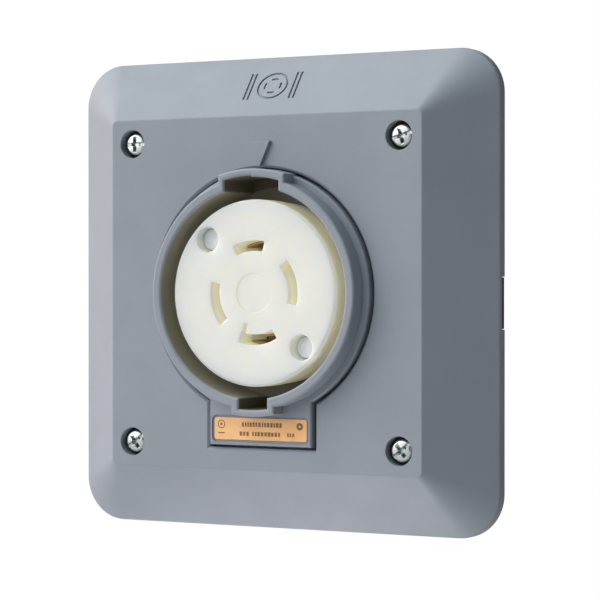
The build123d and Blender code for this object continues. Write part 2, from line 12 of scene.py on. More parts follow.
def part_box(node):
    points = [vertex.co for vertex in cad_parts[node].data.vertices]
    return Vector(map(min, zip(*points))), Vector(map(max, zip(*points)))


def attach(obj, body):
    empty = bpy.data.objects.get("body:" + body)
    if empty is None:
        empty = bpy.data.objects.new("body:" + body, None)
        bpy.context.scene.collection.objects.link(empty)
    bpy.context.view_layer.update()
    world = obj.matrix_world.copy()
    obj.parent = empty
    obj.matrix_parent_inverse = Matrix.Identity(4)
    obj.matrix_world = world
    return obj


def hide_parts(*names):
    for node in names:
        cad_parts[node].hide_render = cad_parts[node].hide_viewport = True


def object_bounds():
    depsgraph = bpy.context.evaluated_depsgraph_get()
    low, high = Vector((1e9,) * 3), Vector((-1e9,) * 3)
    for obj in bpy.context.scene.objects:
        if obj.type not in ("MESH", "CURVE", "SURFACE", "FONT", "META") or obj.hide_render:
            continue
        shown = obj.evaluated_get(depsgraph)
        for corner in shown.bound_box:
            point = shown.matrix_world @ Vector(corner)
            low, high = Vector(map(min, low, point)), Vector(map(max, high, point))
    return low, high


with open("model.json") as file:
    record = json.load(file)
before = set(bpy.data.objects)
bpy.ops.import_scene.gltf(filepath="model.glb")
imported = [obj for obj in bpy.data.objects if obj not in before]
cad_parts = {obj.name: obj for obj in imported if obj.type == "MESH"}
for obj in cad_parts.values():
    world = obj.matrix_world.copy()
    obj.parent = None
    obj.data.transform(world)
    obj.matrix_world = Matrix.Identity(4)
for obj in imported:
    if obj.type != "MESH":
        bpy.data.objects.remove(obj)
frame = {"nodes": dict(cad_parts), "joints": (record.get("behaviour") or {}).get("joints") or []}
cad_low, cad_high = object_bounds()
nodes = frame["nodes"]
joints = {joint["name"]: joint for joint in frame["joints"]}

MM = 0.001
CORNERS = ("top_left", "top_right", "bottom_left", "bottom_right")
LINES = ("x", "neutral", "y", "ground")
FRONT = Vector((0, -1, 0))

# Sizes that follow the CAD's
THREAD_PITCH = 0.794 * MM
NECK_RADIUS = 1.85 * MM
COVER_THREAD_RADIUS = 2.05 * MM
COVER_HEAD_HEIGHT = 2.1 * MM
SHORT_HEAD_HEIGHT = 2.0 * MM
TERMINAL_HEAD_RADIUS = 3.2 * MM
TERMINAL_THREAD_RADIUS = 1.95 * MM
TERMINAL_SHANK_LENGTH = 10.5 * MM
COLLAR_HEAD_RADIUS = 4.2 * MM
COLLAR_THREAD_RADIUS = 1.4 * MM
POST_SCREW_HEAD_RADIUS = 3.0 * MM
POST_SCREW_THREAD_RADIUS = 1.55 * MM
BORE_RADIUS = 32.8 * MM
KEYWAY_RADIUS = 36.3 * MM
COLLAR_FLOOR = 3.0 * MM
POST_OFFSET = 23.6 * MM * math.sqrt(0.5)
POINTER_HEIGHT = 1.2 * MM
FACE_WALL = 3.4 * MM

# Cut threads. The lead-in is a number of turns, over which the rod is thinner by up to a share of
# the thread's depth, and a gain over 1 gives the thread a flat crest
THREAD_DEPTH = 0.42 * MM
SHALLOW_THREAD_DEPTH = 0.8 * THREAD_DEPTH
RINGS_PER_TURN = 9
LEAD_IN = 1.2
LEAD_IN_TAPER = 0.9
CREST_GAIN = 1.15

# Screw heads. The crown's height and the slot's length are multiples of the head's radius, and
# the shoulder is the share of the crown's height half way in. The cross shrinks to a share of its
# size at its point. Turns are in degrees
CROWN = 0.04
CROWN_SHOULDER = 0.7
SLOT_LENGTH = 3
SLOT_DEPTH = 0.8625 * MM
RECESS_WIDTH = 1.25 * MM
CROSS_DEPTH = 1.495 * MM
CROSS_POINT = 0.36
COVER_HEAD_EDGE = 0.8 * MM
COVER_CROSS_REACH = 2.5 * MM
COVER_SCREW_TURNS = (0.0, 17.0, 35.0, 40.0)
TERMINAL_HEAD_EDGE = 0.5 * MM
TERMINAL_CROSS_REACH = 2.0 * MM
REAR_HEAD_EDGE = 0.6 * MM
COLLAR_CROSS_REACH = 2.2 * MM
POST_CROSS_REACH = 1.8 * MM
REAR_SCREW_TURN = 40.107

# How far cutters start above a head, and how far joined solids run into each other
ABOVE = 1 * MM
OVERLAP = 0.3 * MM
NECK_OVERLAP = 0.2 * MM

# Label print. A drop is measured from the label's top edge, or from the upper row to a mark. Rows
# are in millimetres: left and right ends from the label's middle, and half height
UPPER_ROW_DROP = 2.0 * MM
LOWER_ROW_DROP = 4.9 * MM
UPPER_ROWS = ((-6.6, 6.9, 0.72),)
LOWER_ROWS = ((-7.4, -4.0, 0.66), (-2.9, 7.0, 0.66), (9.6, 12.0, 0.62))
BLOCK_WIDTHS = (0.55, 1.0)
BLOCK_HEIGHTS = (0.85, 1.0)
BLOCK_GAPS = (0.26, 0.42)
MARK_OFFSET = 14.0 * MM
LEFT_MARK_DROP = 0.1 * MM
LEFT_MARK_RADII = ((1.05 * MM, 1.35 * MM), (0.01 * MM, 0.45 * MM))
RIGHT_MARK_DROP = 0.2 * MM
RIGHT_MARK_RADII = (0.35 * MM, 1.15 * MM)
STROKE_HALF_LENGTH = 1.2 * MM
STROKE_HEIGHTS = (-0.1 * MM, 0.25 * MM)
INK_HALF_DEPTH = 0.02 * MM

# Ejector marks inside the cover
MARK_PITCH = 22 * MM
MARK_ROW = 49.5 * MM
MARK_RADII = (1.9 * MM, 2.3 * MM)
MARK_HEIGHTS = (0.12 * MM, -0.1 * MM)

# Where the collar's bore and keyways, bottom and top, get painted shade, and where the posts' pockets get
# a paler painted warm light on the nylon
KEYWAY_HALF_WIDTHS = (6.8 * MM, 11 * MM)
POST_POCKET_RADIUS = 4.6 * MM

# Camera and stage: lengths in metres, the lens in millimetres, angles in degrees, power in watts
LENS_LENGTH = 140.7
SENSOR_WIDTH = 36
CAMERA_PLACE = (0.36194, -0.65058, 0.00242)
CAMERA_TILT = 89.64
CAMERA_HEADING = 28.82
FLOOR_DROP = 0.22
FLOOR_RADIUS = 6.0
FLOOR_FADE = (0.35, 1.1)
LOW_LIGHT_PLACE = (-0.06, -0.040, -0.25)
LOW_LIGHT_TARGET = (0, 0, -0.05)
LOW_LIGHT_SIZE = (0.3, 0.08)
LOW_LIGHT_POWER = 0.25
LOW_LIGHT_COLOUR = (0.97, 0.95, 1.0)

# Light from each side of the room: where it comes from, how tightly it is gathered, its colour
ROOM = (
    ((-1.0, -0.35, 0.35), 4, (2.43, 1.84, 1.66)),
    ((-0.55, -0.35, 0.75), 3, (2.17, 2.56, 2.63)),
)


# ---------------------------------------------------------------------------------------------
# Node helpers
# ---------------------------------------------------------------------------------------------
class Shader:
    """A material with a Principled shader, and short calls for the nodes that feed it."""

    def __init__(self, name, **sockets):
        self.material = bpy.data.materials.new(name)
        self.material.use_nodes = True
        self.tree = self.material.node_tree
        self.surface = self.tree.nodes["Principled BSDF"]
        self.coordinates = self.tree.nodes.new("ShaderNodeTexCoord").outputs["Object"]
        for socket, value in sockets.items():
            self.surface.inputs[socket.replace("_", " ")].default_value = value

    def node(self, kind, inputs=None, **settings):
        """A node with some settings, and inputs that are values or other nodes' outputs."""
        return add_node(self.tree, kind, inputs, **settings)

    def noise(self, size, detail=3.0, roughness=0.5, stretch=(1, 1, 1), distortion=0.0):
        """Noise whose features are about size metres across."""
        scaled = self.node("Mapping", {"Vector": self.coordinates, "Scale": stretch})
        texture = self.node(
            "TexNoise",
            {
                "Vector": scaled.outputs[0],
                "Scale": 1 / size,
                "Detail": detail,
                "Roughness": roughness,
                "Distortion": distortion,
            },
        )
        return texture.outputs["Fac"]

    def cells(self, size):
        """Distance to the nearest of scattered points about size metres apart."""
        return self.node("TexVoronoi", {"Vector": self.coordinates, "Scale": 1 / size}).outputs["Distance"]

    def remap(self, value, low, high, to_low=0.0, to_high=1.0):
        """A smooth, clamped change of range."""
        spread = self.node(
            "MapRange",
            {"Value": value, "From Min": low, "From Max": high, "To Min": to_low, "To Max": to_high},
            interpolation_type="SMOOTHSTEP",
        )
        return spread.outputs["Result"]

    def math(self, operation, first, second=0.5):
        """The result of one sum on two values or sockets."""
        return self.node("Math", {0: first, 1: second}, operation=operation).outputs[0]

    def blend(self, factor, first, second, blend_type="MIX"):
        """A colour between two others; each is a colour or a socket."""
        mix = self.node("Mix", data_type="RGBA", blend_type=blend_type)
        for socket, value in (("Factor_Float", factor), ("A_Color", first), ("B_Color", second)):
            target = next(item for item in mix.inputs if item.identifier == socket)
            if isinstance(value, bpy.types.NodeSocket):
                self.tree.links.new(value, target)
            elif socket == "Factor_Float":
                target.default_value = value
            else:
                target.default_value = (*value, 1.0)
        return next(item for item in mix.outputs if item.identifier == "Result_Color")

    def part(self, axis):
        """One coordinate of the point, in metres."""
        return self.node("SeparateXYZ", {0: self.coordinates}).outputs[axis]

    def from_axis(self):
        """Distance from the receptacle's own axis, in metres."""
        flat = self.node("CombineXYZ", {"X": self.part("X"), "Z": self.part("Z")})
        return self.node("VectorMath", {0: flat.outputs[0]}, operation="LENGTH").outputs["Value"]

    def edges(self, radius):
        """1 on convex and concave edges, 0 on open surfaces."""
        rounded = self.node("Bevel", {"Radius": radius}, samples=6).outputs[0]
        flat = self.node("NewGeometry").outputs["Normal"]
        lean = self.node("VectorMath", {0: rounded, 1: flat}, operation="DOT_PRODUCT")
        return self.remap(lean.outputs["Value"], 0.995, 0.90)

    def crevices(self, distance):
        """1 in the open, falling to 0 in tight corners."""
        shade = self.node("AmbientOcclusion", {"Distance": distance}, samples=8)
        return shade.outputs["AO"]

    def bumps(self, *layers, edge=0.0):
        """Bump layers, each a height and a depth in metres, over edges rounded by some radius."""
        normal = self.node("Bevel", {"Radius": edge}, samples=6).outputs[0] if edge else None
        for height, depth in layers:
            inputs = {"Height": height, "Distance": depth, "Strength": 1.0}
            if normal is not None:
                inputs["Normal"] = normal
            normal = self.node("Bump", inputs).outputs["Normal"]
        self.feed("Normal", normal)

    def feed(self, socket, value):
        """Links an output to one of the shader's own sockets."""
        self.tree.links.new(value, self.surface.inputs[socket])

    def dress(self, *names):
        """Puts the material on CAD nodes."""
        for name in names:
            for slot in nodes[name].material_slots:
                slot.link = "OBJECT"
                slot.material = self.material


def add_node(tree, kind, inputs=None, **settings):
    """A node in any shader tree, its inputs values or other nodes' outputs."""
    made = tree.nodes.new("ShaderNode" + kind)
    for key, value in settings.items():
        setattr(made, key, value)
    for key, value in (inputs or {}).items():
        if isinstance(value, bpy.types.NodeSocket):
            tree.links.new(value, made.inputs[key])
        else:
            made.inputs[key].default_value = value
    return made


# ---------------------------------------------------------------------------------------------
# Materials
# ---------------------------------------------------------------------------------------------
def tone(colour, factor):
    """A colour made darker or lighter."""
    return tuple(channel * factor for channel in colour)


def inside_collar(shader):
    """1 on the collar's bore and in its keyways, 0 on its front and outside."""
    low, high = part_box("shroud_collar")
    across = shader.math("ABSOLUTE", shader.part("X"))
    keyed = shader.remap(shader.part("Z"), -1 * MM, 1 * MM, *KEYWAY_HALF_WIDTHS)
    near = shader.math("LESS_THAN", across, keyed)
    limit = shader.remap(near, 0, 1, BORE_RADIUS + 0.3 * MM, KEYWAY_RADIUS + 0.5 * MM)
    within = shader.math("LESS_THAN", shader.from_axis(), limit)
    ahead = shader.math("LESS_THAN", shader.part("Y"), high.y - 0.9 * COLLAR_FLOOR)
    within = shader.math("MULTIPLY", within, ahead)
    behind_edge = shader.remap(shader.part("Y"), low.y + 0.2 * MM, low.y + 1.2 * MM)
    return shader.math("MULTIPLY", within, behind_edge)


def moulded_grey(name, bore=False):
    """Matt grey thermoplastic with a fine spark texture, painted shade in corners, and edges lightened in
    patches by wear and as a painted highlight.
    """
    colour = (0.300, 0.327, 0.375)
    bore_painted_shade = (0.268, 0.256, 0.205)
    keyway_painted_shade = (0.150, 0.130, 0.100)
    shader = Shader(name, Specular_IOR_Level=0.42, IOR=1.5)
    cloud = shader.remap(shader.noise(26 * MM, 4, 0.6), 0.3, 0.7)
    speck = shader.remap(shader.noise(0.5 * MM, 2), 0.60, 0.72)
    body = shader.blend(cloud, tone(colour, 0.965), tone(colour, 1.035))
    body = shader.blend(shader.math("MULTIPLY", speck, 0.16), body, tone(colour, 1.35))
    # Edges lightened in patches: partly wear, partly a painted highlight.
    rubbed_and_highlit = shader.math("MULTIPLY", shader.edges(0.45 * MM), shader.noise(2.2 * MM, 4, 0.7))
    body = shader.blend(shader.math("MULTIPLY", rubbed_and_highlit, 0.22), body, tone(colour, 1.55))
    # Painted shade on the collar: its bore is darker and warmed by painted light from the nylon, and its
    # keyways are darker still.
    if bore:
        keyway = shader.math("GREATER_THAN", shader.from_axis(), BORE_RADIUS + 0.4 * MM)
        painted_bore_shade = shader.blend(keyway, bore_painted_shade, keyway_painted_shade)
        body = shader.blend(inside_collar(shader), body, painted_bore_shade)
    # Painted shade: darker in corners and tight gaps, from ambient occlusion.
    corner = shader.remap(shader.crevices(1.0 * MM), 0.15, 0.8, 0.72, 1.0)
    painted_shade = shader.node("CombineColor", {0: corner, 1: corner, 2: corner}).outputs[0]
    body = shader.blend(1.0, body, painted_shade, "MULTIPLY")
    shader.feed("Base Color", body)
    shader.feed("Roughness", shader.remap(shader.noise(9 * MM, 5, 0.6), 0.2, 0.8, 0.44, 0.56))
    grain = shader.noise(0.24 * MM, 3, 0.6)
    sink = shader.noise(38 * MM, 1)
    shader.bumps((sink, 0.10 * MM), (grain, 0.012 * MM), edge=0.3 * MM)
    return shader


def in_post_pockets(shader):
    """1 around the two posts, and around their mirror images, where it changes nothing."""
    across = shader.math("SUBTRACT", shader.math("ABSOLUTE", shader.part("X")), POST_OFFSET)
    up = shader.math("SUBTRACT", shader.math("ABSOLUTE", shader.part("Z")), POST_OFFSET)
    spot = shader.node("CombineXYZ", {"X": across, "Y": up})
    away = shader.node("VectorMath", {0: spot.outputs[0]}, operation="LENGTH").outputs["Value"]
    return shader.math("LESS_THAN", away, POST_POCKET_RADIUS)


def moulded_nylon():
    """Off-white nylon, slightly translucent, painted yellower on its sides and down its slots for the
    light that reaches them through it.

    A faint glow on those walls stands for the light that reaches them through the material.
    """
    front = (0.890, 0.885, 0.845)
    painted_warm_light = (1.0, 0.965, 0.80)
    painted_warm_light_by_posts = (1.0, 0.985, 0.93)
    dirt_and_painted_shade = (0.60, 0.56, 0.45)
    glow = (0.95, 0.93, 0.75, 1.0)
    glow_strength = 0.115
    shader = Shader(
        "off-white nylon",
        Subsurface_Weight=1.0,
        Subsurface_Scale=0.009,
        Specular_IOR_Level=0.45,
        IOR=1.53,
    )
    shader.surface.inputs["Subsurface Radius"].default_value = (0.95, 0.85, 0.60)
    low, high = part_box("receptacle_face")
    deep = shader.remap(shader.part("Y"), low.y + 0.5 * MM, low.y + 3.5 * MM)
    side = shader.remap(shader.from_axis(), high.x - 0.5 * MM, high.x - 0.1 * MM)
    cloud = shader.remap(shader.noise(14 * MM, 4), 0.3, 0.7)
    body = shader.blend(cloud, tone(front, 0.975), front)
    # Painted warm light: yellower down the slots and on the sides, paler round the posts' pockets.
    painted_yellow_light = shader.blend(in_post_pockets(shader), painted_warm_light, painted_warm_light_by_posts)
    body = shader.blend(shader.math("MAXIMUM", deep, shader.math("MULTIPLY", side, 0.8)), body, painted_yellow_light)
    # Fine specks of dirt.
    speck = shader.remap(shader.noise(0.9 * MM, 2), 0.68, 0.74)
    body = shader.blend(shader.math("MULTIPLY", speck, 0.10), body, dirt_and_painted_shade)
    shader.feed("Base Color", body)
    shader.surface.inputs["Emission Color"].default_value = glow
    walls = shader.math("MAXIMUM", deep, side)
    shader.feed("Emission Strength", shader.math("MULTIPLY", walls, glow_strength))
    shader.feed("Roughness", shader.remap(shader.noise(6 * MM, 5, 0.6), 0.2, 0.8, 0.34, 0.46))
    swirl = (shader.noise(20 * MM, 1), 0.05 * MM)
    shader.bumps(swirl, (shader.noise(0.35 * MM, 3), 0.004 * MM), edge=0.35 * MM)
    return shader


def dark_housing():
    """Charcoal phenolic with faint flow marks, and edges lightened in patches by wear and as a painted
    highlight.
    """
    colour = (0.030, 0.032, 0.036)
    worn_and_highlit_colour = (0.16, 0.16, 0.17)
    shader = Shader("charcoal housing", Specular_IOR_Level=0.5)
    flow = shader.remap(shader.noise(7 * MM, 5, 0.6, stretch=(1, 0.3, 1), distortion=1.2), 0.3, 0.7)
    body = shader.blend(flow, tone(colour, 0.8), tone(colour, 1.5))
    # Edges lightened in patches: partly wear, partly a painted highlight.
    rubbed_and_highlit = shader.math("MULTIPLY", shader.edges(0.5 * MM), shader.noise(1.5 * MM, 4, 0.7))
    body = shader.blend(shader.math("MULTIPLY", rubbed_and_highlit, 0.7), body, worn_and_highlit_colour)
    shader.feed("Base Color", body)
    shader.feed("Roughness", shader.remap(flow, 0, 1, 0.38, 0.55))
    shader.bumps((flow, 0.02 * MM), (shader.noise(0.3 * MM, 3), 0.012 * MM), edge=0.25 * MM)
    return shader


def foam():
    """Closed-cell foam: fine open pores on a soft black body."""
    pore_shade = (0.006, 0.006, 0.006)
    skin = (0.022, 0.022, 0.024)
    dusty = (0.034, 0.034, 0.036)
    shader = Shader("closed-cell foam", Specular_IOR_Level=0.3, Sheen_Weight=0.15)
    # Painted shade: the pores are darker than the skin.
    pores = shader.remap(shader.cells(0.55 * MM), 0.10, 0.45)
    body = shader.blend(pores, pore_shade, skin)
    body = shader.blend(shader.remap(shader.noise(8 * MM, 4), 0.4, 0.75), body, dusty)
    shader.feed("Base Color", body)
    shader.feed("Roughness", shader.remap(pores, 0, 1, 0.95, 0.78))
    shader.bumps((pores, 0.12 * MM), (shader.noise(3 * MM, 2), 0.08 * MM))
    return shader


def moulded_rubber():
    """Dark matt rubber with a faint cloudiness."""
    colour = (0.018, 0.018, 0.020)
    shader = Shader("moulded rubber", Specular_IOR_Level=0.4)
    cloud = shader.remap(shader.noise(3 * MM, 4), 0.3, 0.7)
    shader.feed("Base Color", shader.blend(cloud, colour, tone(colour, 1.9)))
    shader.feed("Roughness", shader.remap(cloud, 0, 1, 0.55, 0.72))
    shader.bumps((shader.noise(0.25 * MM, 3), 0.01 * MM), edge=0.15 * MM)
    return shader


def metal(
    name,
    colour,
    dull,
    roughness,
    scratch=1.0,
    tarnish=(0.35, 0.3, 0.25),
    metallic=1.0,
    crevice_shade_share=(0.22, 0.22, 0.22),
):
    """Bare or plated metal with fine scratches, cloudy dulling, a painted highlight along its edges and
    painted shade in its corners.

    The last argument is the share of the colour that is left in its corners, as painted shade.
    """
    shader = Shader(name, Metallic=metallic)
    cloud = shader.remap(shader.noise(2.5 * MM, 5, 0.65), 0.35, 0.7)
    stain = shader.remap(shader.noise(1.1 * MM, 4, 0.7, distortion=0.6), 0.58, 0.75)
    hair = shader.noise(0.5 * MM, 4, 0.7, stretch=(1, 9, 1))
    body = shader.blend(shader.math("MULTIPLY", cloud, dull), colour, tone(colour, 0.72))
    body = shader.blend(shader.math("MULTIPLY", stain, dull * 0.6), body, tarnish)
    # Painted highlight: a little brighter along edges.
    body = shader.blend(shader.math("MULTIPLY", shader.edges(0.18 * MM), 0.35), body, tone(colour, 1.12))
    # Painted shade: darker in corners and crevices, from ambient occlusion.
    corner = shader.remap(shader.crevices(1.2 * MM), 0.3, 0.9)
    dirt_and_painted_shade = tuple(channel * share for channel, share in zip(colour, crevice_shade_share))
    body = shader.blend(corner, dirt_and_painted_shade, body)
    shader.feed("Base Color", body)
    shader.feed("Roughness", shader.remap(cloud, 0, 1, roughness, roughness + 0.16))
    fine = (shader.noise(0.12 * MM, 2), 0.003 * MM)
    shader.bumps((hair, 0.006 * MM * scratch), fine, edge=0.12 * MM)
    return shader


def printed_film():
    """Orange satin label film, cloudy and finely fibred."""
    colour = (0.99, 0.52, 0.20)
    faded = (1.0, 0.58, 0.27)
    pale = (0.97, 0.66, 0.40)
    shader = Shader("orange film", Specular_IOR_Level=0.4)
    cloud = shader.remap(shader.noise(5 * MM, 4), 0.3, 0.7)
    fibre = shader.noise(0.35 * MM, 4, 0.7)
    body = shader.blend(cloud, tone(colour, 0.95), faded)
    body = shader.blend(shader.math("MULTIPLY", fibre, 0.12), body, pale)
    shader.feed("Base Color", body)
    shader.feed("Roughness", shader.remap(fibre, 0.3, 0.7, 0.38, 0.50))
    shader.bumps((fibre, 0.003 * MM), (shader.noise(6 * MM, 1), 0.03 * MM), edge=0.1 * MM)
    return shader


def label_ink():
    """Patchy brown print, as if some of the orange came through."""
    solid = (0.20, 0.10, 0.035)
    thin = (0.36, 0.19, 0.07)
    shader = Shader("label ink")
    patchy = shader.remap(shader.noise(0.3 * MM, 3), 0.35, 0.75)
    shader.feed("Base Color", shader.blend(patchy, solid, thin))
    shader.feed("Roughness", shader.remap(patchy, 0, 1, 0.5, 0.65))
    shader.bumps((patchy, 0.004 * MM))
    return shader


GREY = moulded_grey("moulded grey")
COLLAR_GREY = moulded_grey("moulded grey collar", bore=True)
NYLON = moulded_nylon()
HOUSING = dark_housing()
FOAM = foam()
RUBBER = moulded_rubber()
# For bright zinc and stamped brass, the last setting is the share of the colour left in corners as painted
# shade.
ZINC = metal("bright zinc", (0.83, 0.86, 0.87), 0.35, 0.20, crevice_shade_share=(0.10, 0.20, 0.21))
POST_ZINC = metal("satin zinc", (0.72, 0.77, 0.79), 0.30, 0.45)
CONTACT_BRASS = metal(
    "stamped brass", (0.62, 0.46, 0.19), 0.3, 0.55, 1.6, metallic=0.25, crevice_shade_share=(0.9, 0.9, 0.9)
)
SCREW_BRASS = metal("turned brass", (0.86, 0.62, 0.28), 0.4, 0.22)
NICKEL = metal("nickel plate", (0.80, 0.78, 0.73), 0.3, 0.2)
GREEN = metal("green dyed steel", (0.06, 0.36, 0.14), 0.4, 0.32, tarnish=(0.35, 0.38, 0.30))
FILM = printed_film()
INK = label_ink()
TERMINAL_METALS = {
    "x": (SCREW_BRASS, "screw_brass"),
    "neutral": (NICKEL, "screw_nickel"),
    "y": (SCREW_BRASS, "screw_brass"),
    "ground": (GREEN, "screw_green"),
}

GREY.dress("cover_plate")
COLLAR_GREY.dress("shroud_collar")
NYLON.dress("receptacle_face", "contact_carrier")
HOUSING.dress("receptacle_body")
FOAM.dress("cover_gasket")
RUBBER.dress("shroud_seal", "socket_seal", *(f"sealing_washer_{corner}" for corner in CORNERS))
POST_ZINC.dress("assembly_posts")
CONTACT_BRASS.dress(*(f"contact_{line}" for line in LINES), *(f"pressure_plate_{line}" for line in LINES))
FILM.dress("rating_label")


# ---------------------------------------------------------------------------------------------
# Mesh helpers
# ---------------------------------------------------------------------------------------------
def new_piece(name, mesh, material, body):
    """A new visible piece that rides on a CAD body."""
    piece = bpy.data.objects.new(name, mesh)
    bpy.context.scene.collection.objects.link(piece)
    mesh.materials.clear()
    mesh.materials.append(material.material)
    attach(piece, body)
    return piece


def smooth(mesh, angle=35):
    """Smooth shading, but for edges sharper than an angle in degrees."""
    for face in mesh.polygons:
        face.use_smooth = True
    mesh.set_sharp_from_angle(angle=math.radians(angle))


def mesh_of(build, name):
    """The finished mesh of what was built, with its faces turned outwards."""
    bmesh.ops.recalc_face_normals(build, faces=build.faces)
    mesh = bpy.data.meshes.new(name)
    build.to_mesh(mesh)
    build.free()
    return mesh


def join_rings(build, lower, upper):
    """Faces between two rings, either of which may be a single point."""
    count = max(len(lower), len(upper))
    for i in range(count):
        j = (i + 1) % count
        below = (lower[i % len(lower)], lower[j % len(lower)])
        above = (upper[j % len(upper)], upper[i % len(upper)])
        corners = [*below, *above]
        build.faces.new(list(dict.fromkeys(corners)))


def stack(build, rings):
    """A closed solid through rings of points."""
    made = [[build.verts.new(point) for point in ring] for ring in rings]
    for lower, upper in zip(made, made[1:]):
        join_rings(build, lower, upper)


def circle_at(radius, height, segments):
    """Points round a circle about Z, or one point if its radius is 0."""
    if radius == 0:
        return [(0, 0, height)]
    turn = 2 * math.pi / segments
    return [(radius * math.cos(turn * i), radius * math.sin(turn * i), height) for i in range(segments)]


def lathe(build, profile, segments=64):
    """A closed solid of revolution about Z from (radius, height) points, first and last on the axis."""
    stack(build, [circle_at(radius, height, segments) for radius, height in profile])


def rounded_head(radius, top, edge, steps=6):
    """Profile of a round head that stands on Z = 0, with a rounded edge and a slight crown."""
    profile = [(0, 0), (radius, 0)]
    for step in range(steps + 1):
        angle = math.pi / 2 * step / steps
        profile.append((radius - edge + edge * math.cos(angle), top - edge + edge * math.sin(angle)))
    crown = CROWN * radius
    profile.append(((radius - edge) / 2, top + crown * CROWN_SHOULDER))
    profile.append((0, top + crown))
    return profile


def threaded_rod(build, radius, depth, bottom, top, segments=36):
    """A closed rod with a helical vee thread, tapered off at its lower end."""
    steps = round((top - bottom) / THREAD_PITCH * RINGS_PER_TURN)
    rings = [circle_at(0, bottom, segments)]
    for step in range(steps + 1):
        height = bottom + (top - bottom) * step / steps
        lead_in = min(1.0, (height - bottom) / (LEAD_IN * THREAD_PITCH))
        ring = []
        for i in range(segments):
            phase = (height / THREAD_PITCH - i / segments) % 1.0
            crest = min(1.0, CREST_GAIN * (1 - abs(2 * phase - 1)))
            reach = radius - depth * (1 - crest) - depth * LEAD_IN_TAPER * (1 - lead_in)
            turn = 2 * math.pi * i / segments
            ring.append((reach * math.cos(turn), reach * math.sin(turn), height))
        rings.append(ring)
    rings.append(circle_at(0, top, segments))
    stack(build, rings)


def cross_cutter(build, top, reach, width, depth):
    """The tapered cross of a driver recess, from above the head down to a blunt point."""
    rings = []
    for height, scale in ((top + ABOVE, 1.0), (top, 1.0), (top - depth, CROSS_POINT)):
        arm = reach * scale
        half = width / 2 * (0.5 + 0.5 * scale)
        tip = ((arm, -half), (arm, half), (half, half))
        outline = []
        for quarter in range(4):
            spin = Matrix.Rotation(quarter * math.pi / 2, 3, "Z")
            outline += [(spin @ Vector((x, y, 0)))[:2] + (height,) for x, y in tip]
        rings.append(outline)
    rings.insert(0, [(0, 0, top + ABOVE)])
    rings.append([(0, 0, top - depth)])
    stack(build, rings)


def slot_cutter(build, top, length, width, depth):
    """A straight block that cuts a slot from above the head down to a depth."""
    corners = [(x * length / 2, y * width / 2) for x, y in ((-1, -1), (1, -1), (1, 1), (-1, 1))]
    heights = (top + ABOVE, top - depth)
    rings = [[(x, y, height) for x, y in corners] for height in heights]
    stack(build, [[(0, 0, heights[0])], *rings, [(0, 0, heights[1])]])


def carve(solid, *cutters):
    """A mesh with others cut out of it."""
    block = bpy.data.objects.new("block", solid)
    bpy.context.scene.collection.objects.link(block)
    tools = []
    for cutter in cutters:
        tool = bpy.data.objects.new("tool", cutter)
        bpy.context.scene.collection.objects.link(tool)
        cut = block.modifiers.new("cut", "BOOLEAN")
        cut.operation = "DIFFERENCE"
        cut.solver = "EXACT"
        cut.object = tool
        tools.append(tool)
    seen = block.evaluated_get(bpy.context.evaluated_depsgraph_get())
    carved = bpy.data.meshes.new_from_object(seen)
    for used in (block, *tools):
        bpy.data.objects.remove(used)
    return carved


def solid_of(maker, *sizes):
    """A mesh from one of the makers above."""
    build = bmesh.new()
    maker(build, *sizes)
    return mesh_of(build, "solid")


def driver_head(radius, height, edge, reach, slotted):
    """A screw head standing on Z = 0, with a cross recess and, if wanted, a slot right across."""
    head = solid_of(lathe, rounded_head(radius, height, edge))
    cutters = [solid_of(cross_cutter, height, reach, RECESS_WIDTH, CROSS_DEPTH)]
    if slotted:
        top = height + CROWN * radius
        cutters.append(solid_of(slot_cutter, top, SLOT_LENGTH * radius, RECESS_WIDTH, SLOT_DEPTH))
    return carve(head, *cutters)


def facing(place, direction, turn=0.0):
    """A placement whose Z points in a direction, turned about it."""
    aim = Vector(direction).to_track_quat("Z", "Y").to_matrix().to_4x4()
    return Matrix.Translation(place) @ aim @ Matrix.Rotation(turn, 4, "Z")


def screw_mesh(name, head, shank_parts, place):
    """One mesh of a carved head and the parts of its shank, set in place."""
    build = bmesh.new()
    build.from_mesh(head)
    for part in shank_parts:
        build.from_mesh(part)
    bmesh.ops.transform(build, matrix=place, verts=build.verts)
    mesh = mesh_of(build, name)
    smooth(mesh)
    return mesh


# ---------------------------------------------------------------------------------------------
# Screws
# ---------------------------------------------------------------------------------------------
def cover_screws():
    """Bright screws with a combined slot and cross, a plain neck and a cut thread."""
    for corner, turn in zip(CORNERS, COVER_SCREW_TURNS):
        low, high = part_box(f"cover_screw_{corner}")
        head_radius = (high.x - low.x) / 2
        seat = low.y + COVER_HEAD_HEIGHT
        place = facing(((low.x + high.x) / 2, seat, (low.z + high.z) / 2), FRONT, math.radians(turn))
        top = COVER_HEAD_HEIGHT - CROWN * head_radius
        head = driver_head(head_radius, top, COVER_HEAD_EDGE, COVER_CROSS_REACH, slotted=True)
        ends = (seat - NECK_OVERLAP, NECK_OVERLAP)
        neck = solid_of(lathe, ((0, ends[0]), *((NECK_RADIUS, end) for end in ends), (0, ends[1])))
        rod = solid_of(threaded_rod, COVER_THREAD_RADIUS, THREAD_DEPTH, seat - high.y, seat)
        mesh = screw_mesh(f"cover screw {corner}", head, (neck, rod), place)
        piece = new_piece(f"cover_screw_{corner}_detail", mesh, ZINC, f"screw_{corner}")
        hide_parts(f"cover_screw_{corner}")


